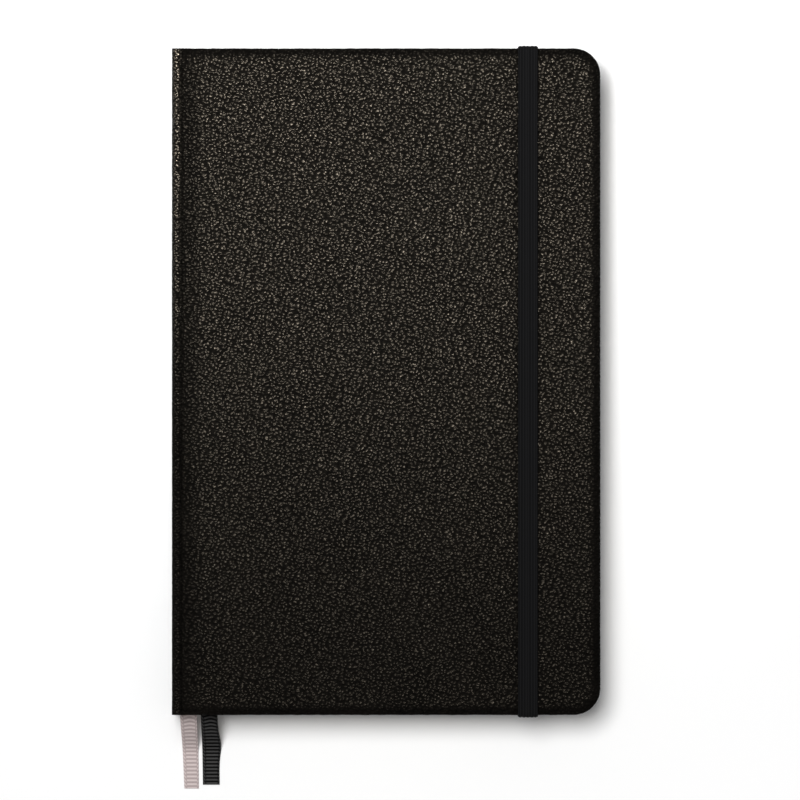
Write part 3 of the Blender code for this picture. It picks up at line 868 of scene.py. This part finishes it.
def elastic_loop(finish):
    """The closing band: five covered rubber cords side by side, drawn tight round the covers."""
    half = BAND_THICKNESS / 2
    low, high = BAND_LOW[2] + half, BAND_HIGH[2] - half - 0.1
    beyond = BAND_HIGH[1] - half - 0.12
    foot, top = 0.6, 0.55
    head = [(BAND_START, low)]
    head += arc((beyond - foot, low + foot), foot, -90, 0, 8)
    head += arc((beyond - top, high - top), top, 0, 90, 8)
    tail = [(-y, z) for y, z in reversed(head)]
    stations, places, normal = even_path(head + tail, 0.3)
    across = np.linspace(-1, 1, 41) * (BAND_WIDTH / 2)
    cord = np.abs(np.cos(np.pi * CORDS * (across / BAND_WIDTH + 0.5) + np.pi / 2)) ** 0.6
    side = np.sqrt(np.clip(1 - (np.abs(across) / (BAND_WIDTH / 2)) ** 8, 0, 1))
    ripple = 0.02 * np.sin(2 * math.pi * stations / 0.9)[:, None] * np.cos(across * 9.0)[None, :]
    relief = (0.17 + 0.11 * cord)[None, :] * side[None, :] + ripple * side[None, :]
    points, faces = band_solid(places, normal, np.full(len(stations), BAND_X), across, relief)
    piece = add_piece("closing_band", points, faces, "elastic_loop", finish)
    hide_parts("elastic_band")
    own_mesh(piece)


def ribbon_route(end_y):
    """The route of a ribbon's middle line in y and z: down the book, out at the tail and onto the table."""
    resting = RIBBON_THICKNESS / 2 + 0.05
    start, landing, steps = -(HALF_HEIGHT + 0.5), -(HALF_HEIGHT + 9.0), 16
    path = [(LEAF_HIGH[1] - 1.0, MIDDLE)]
    for step in range(steps + 1):
        share = step / steps
        fall = (1 + math.cos(math.pi * share)) / 2
        path.append((start + (landing - start) * share, resting + (MIDDLE - resting) * fall))
    path.append((end_y, resting))
    return path


def ribbon_relief(travel, across, wobble, pitch):
    """Half thickness of a grosgrain ribbon: ribs across it, sunk seams and slanting selvedges."""
    side = np.abs(across - RIBS_OFF_CENTRE)
    inner = 1 - smooth(side, RIBS_END - 0.08, RIBS_END + 0.08)
    rib = 0.5 + 0.5 * np.cos(2 * math.pi * (travel[:, None] + wobble) / pitch)
    edge_rib = 0.5 + 0.5 * np.cos(2 * math.pi * (travel[:, None] + side[None, :]) / pitch)
    relief = 0.055 + 0.05 * rib * inner[None, :] + 0.04 * edge_rib * (1 - inner)[None, :]
    relief = relief - 0.03 * np.exp(-(((side - RIBS_END) / 0.1) ** 2))[None, :]
    return relief * np.sqrt(np.clip(1 - (np.abs(across) / (RIBBON_WIDTH / 2)) ** 14, 0.02, 1))[None, :]


def ribbon(name, node, finish, pitch, shift, narrowing, bulge):
    """One grosgrain ribbon with a straight cut end.

    Shift is how far to the right it lies at the tail's edge and at its end, narrowing how much slimmer it
    gets and bulge how far its right side swells on the way.
    """
    low, high = node_box(node)
    stations, places, normal = even_path(ribbon_route(low[1]), pitch / 7)
    across = np.linspace(-1, 1, 31) * (RIBBON_WIDTH / 2)
    outside = np.clip(-HALF_HEIGHT - places[:, 0], 0, None)
    travel = places[0, 0] - places[:, 0]
    bend = np.exp(-((outside / 3.5) ** 2)) * (outside > 0)
    wobble = 0.16 * bend[:, None] * np.sin(across * 2.1 + 1)[None, :]
    middle = (low[0] + high[0]) / 2 + shift[0] + (shift[1] - shift[0]) * outside / RIBBON_REACH
    relief = ribbon_relief(travel, across, wobble, pitch)
    points, faces = band_solid(places, normal, middle, across, relief)
    sideways = np.tile(np.concatenate([across, across[::-1]]), len(stations))
    beyond = np.repeat(outside, 2 * len(across))
    swell = bulge * np.exp(-(((beyond - 7.0) / 3.0) ** 2)) * np.clip(sideways / RIBBON_WIDTH + 0.5, 0, 1)
    points[:, 0] += swell - narrowing * beyond / RIBBON_REACH * sideways / RIBBON_WIDTH
    along = np.repeat(travel, 2 * len(across)) + np.concatenate([wobble, wobble[:, ::-1]], axis=1).ravel()
    surface = np.stack([sideways, along], -1)
    piece = add_piece(name, points, faces, "centre_rear_leaves", finish, surface)
    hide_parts(node)
    route = [Vector((m, y, z)) * MM for m, (y, z) in zip(middle[::12], places[::12])]
    route.append(Vector((middle[-1], *places[-1])) * MM)
    route = [tuple(p) for p in route[:: max(1, len(route) // 34)]] + [tuple(route[-1])]


# ---------------------------------------------------------------- small pieces

def stitches(finish):
    """Columns of linked stitches: a waxed thread that zigzags from fold to fold."""
    radius, links, steps = 0.085, 11, 132
    share = np.linspace(0, 1, steps)
    ring = np.linspace(0, 2 * math.pi, 8, endpoint=False)
    for number in range(1, 6):
        node = f"sewing_thread_{number}"
        low, high = node_box(node)
        middle = (low + high) / 2
        z = low[2] + 0.1 + (high[2] - low[2] - 0.2) * share
        y = middle[1] + 0.22 * np.sin(2 * math.pi * share * links)
        x = middle[0] + 0.03 * np.cos(4 * math.pi * share * links)
        solid = np.zeros((steps, len(ring), 3))
        solid[:, :, 0] = x[:, None] + radius * np.cos(ring)
        solid[:, :, 1] = y[:, None] + radius * np.sin(ring)
        solid[:, :, 2] = z[:, None]
        points, faces = tube(solid)
        piece = add_piece(f"linked_stitches_{number}", points, faces, "spine", finish)
        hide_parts(node)


def paint(node, finish):
    """Gives a carried-over CAD piece its finish."""
    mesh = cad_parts[node].data
    mesh.materials.clear()
    mesh.materials.append(finish)


# ---------------------------------------------------------------- studio

def camera():
    """A long lens straight above the book."""
    data = bpy.data.cameras.new("overhead")
    data.lens = LENS
    data.sensor_width = SENSOR
    data.clip_end = 20
    eye = bpy.data.objects.new("overhead", data)
    above = THICKNESS + VIEW_WIDTH * LENS / SENSOR
    eye.location = Vector((*VIEW_CENTRE, above)) * MM
    bpy.context.scene.collection.objects.link(eye)
    bpy.context.scene.camera = eye


def lamp(data, place, aim):
    """Puts a light at a place and points it at another, in millimetres."""
    made = bpy.data.objects.new(data.name, data)
    made.location = Vector(place) * MM
    made.rotation_euler = (Vector(aim) - Vector(place)).to_track_quat("-Z", "Y").to_euler()
    bpy.context.scene.collection.objects.link(made)
    return made


def key_light():
    """A wide soft light from the head's left, equally strong all over the floor."""
    data = bpy.data.lights.new("key", "SUN")
    data.angle = math.radians(25)
    data.energy = 2.45
    lamp(data, (-150, 180, 780), (0, 0, 0))


def sheen_light():
    """A small soft light over the head, which makes the leather's pebbles gleam."""
    data = bpy.data.lights.new("sheen", "AREA")
    data.shape = "RECTANGLE"
    data.size = data.size_y = 0.05
    data.energy = 0.065
    data.spread = math.radians(58)
    lamp(data, (-30, 100, 340), (-30, 100, 0)).visible_camera = False


def studio():
    """White floor, pale surroundings and soft light."""
    finish = Finish("white_floor")
    size = 3.0  # metres
    mesh = bpy.data.meshes.new("floor")
    corners = [(-size, -size, 0), (size, -size, 0), (size, size, 0), (-size, size, 0)]
    mesh.from_pydata(corners, [], [(0, 1, 2, 3)])
    mesh.materials.append(finish.surface((0.96, 0.96, 0.96, 1), 0.9, 0.1))
    floor = bpy.data.objects.new("floor", mesh)
    bpy.context.scene.collection.objects.link(floor)
    world = bpy.data.worlds.new("studio")
    world.use_nodes = True
    backdrop = world.node_tree.nodes["Background"]
    backdrop.inputs["Color"].default_value = (1, 1, 1, 1)
    backdrop.inputs["Strength"].default_value = 0.29
    bpy.context.scene.world = world
    key_light()
    sheen_light()
    bpy.context.scene.view_settings.view_transform = "Standard"
    bpy.context.scene.view_settings.look = "None"


# ---------------------------------------------------------------- the book

def markers():
    """Both ribbons, the pale one next to the spine."""
    pale_stops = (0.2, (0.385, 0.318, 0.311)), (0.68, (0.62, 0.53, 0.52))
    dark_stops = (0.3, (0.001, 0.001, 0.001)), (0.61, (0.048, 0.0475, 0.047))
    pale = ribbon_finish("pale_grosgrain", *pale_stops, PALE_PITCH, 0.2)
    dark = ribbon_finish("dark_grosgrain", *dark_stops, DARK_PITCH, 0.06)
    ribbon("pale_marker", "ribbon_light", pale, PALE_PITCH, (-0.38, 0.05), 0.45, 0.0)
    ribbon("dark_marker", "ribbon_black", dark, DARK_PITCH, (-0.3, -0.05), 0.0, 0.45)


def case():
    """Leather and boards."""
    black = leather_finish("pebbled_leather", 1.0, 1.0)
    step = 0.3
    cover_leather("front_cover_leather", "front_skin", "front_cover", False, step, black)
    cover_leather("back_cover_leather", "back_skin", "case_back", True, 0.6, black)
    spine_leather(leather_finish("stretched_leather", 3.8, 1.2))
    back_joint_leather(black)
    grey = board_finish()
    board_panel("front_panel", "front_board", "front_cover", False, grey)
    board_panel("back_panel", "back_board", "case_back", True, grey)
    paint("spine_board", grey)


def leaves():
    """Ruled gatherings, plain endpapers and what holds them together."""
    ruled = paper_finish("ruled_paper", IVORY, True)
    for number in (1, 2, 3, 4, 5, 7, 8, 9, 10, 11):
        gathering(number, ruled)
    middle_gathering(ruled)
    plain = paper_finish("endpaper", ENDPAPER, False)
    flat_leaf("front_free_leaf", "front_flyleaf", "front_endleaf", plain, COCKLE)
    flat_leaf("rear_free_leaf", "rear_flyleaf", "case_back", plain, COCKLE)
    flat_leaf("front_pasted_leaf", "front_pastedown", "front_cover", plain, 0.0)
    flat_leaf("back_pasted_leaf", "back_pastedown", "case_back", plain, 0.0)
    joint_paper("front_joint_paper", "front_cover", True, plain)
    joint_paper("back_joint_paper", "case_back", False, plain)
    stitches(thread_finish())
    paint("spine_lining", cloth_finish())


def closing_band():
    """The elastic round the book and its two ends inside the back board."""
    finish = elastic_finish()
    elastic_loop(finish)
    for node in ("elastic_anchor_top", "elastic_anchor_bottom"):
        paint(node, finish)


camera()
markers()
studio()
case()
leaves()
closing_band()
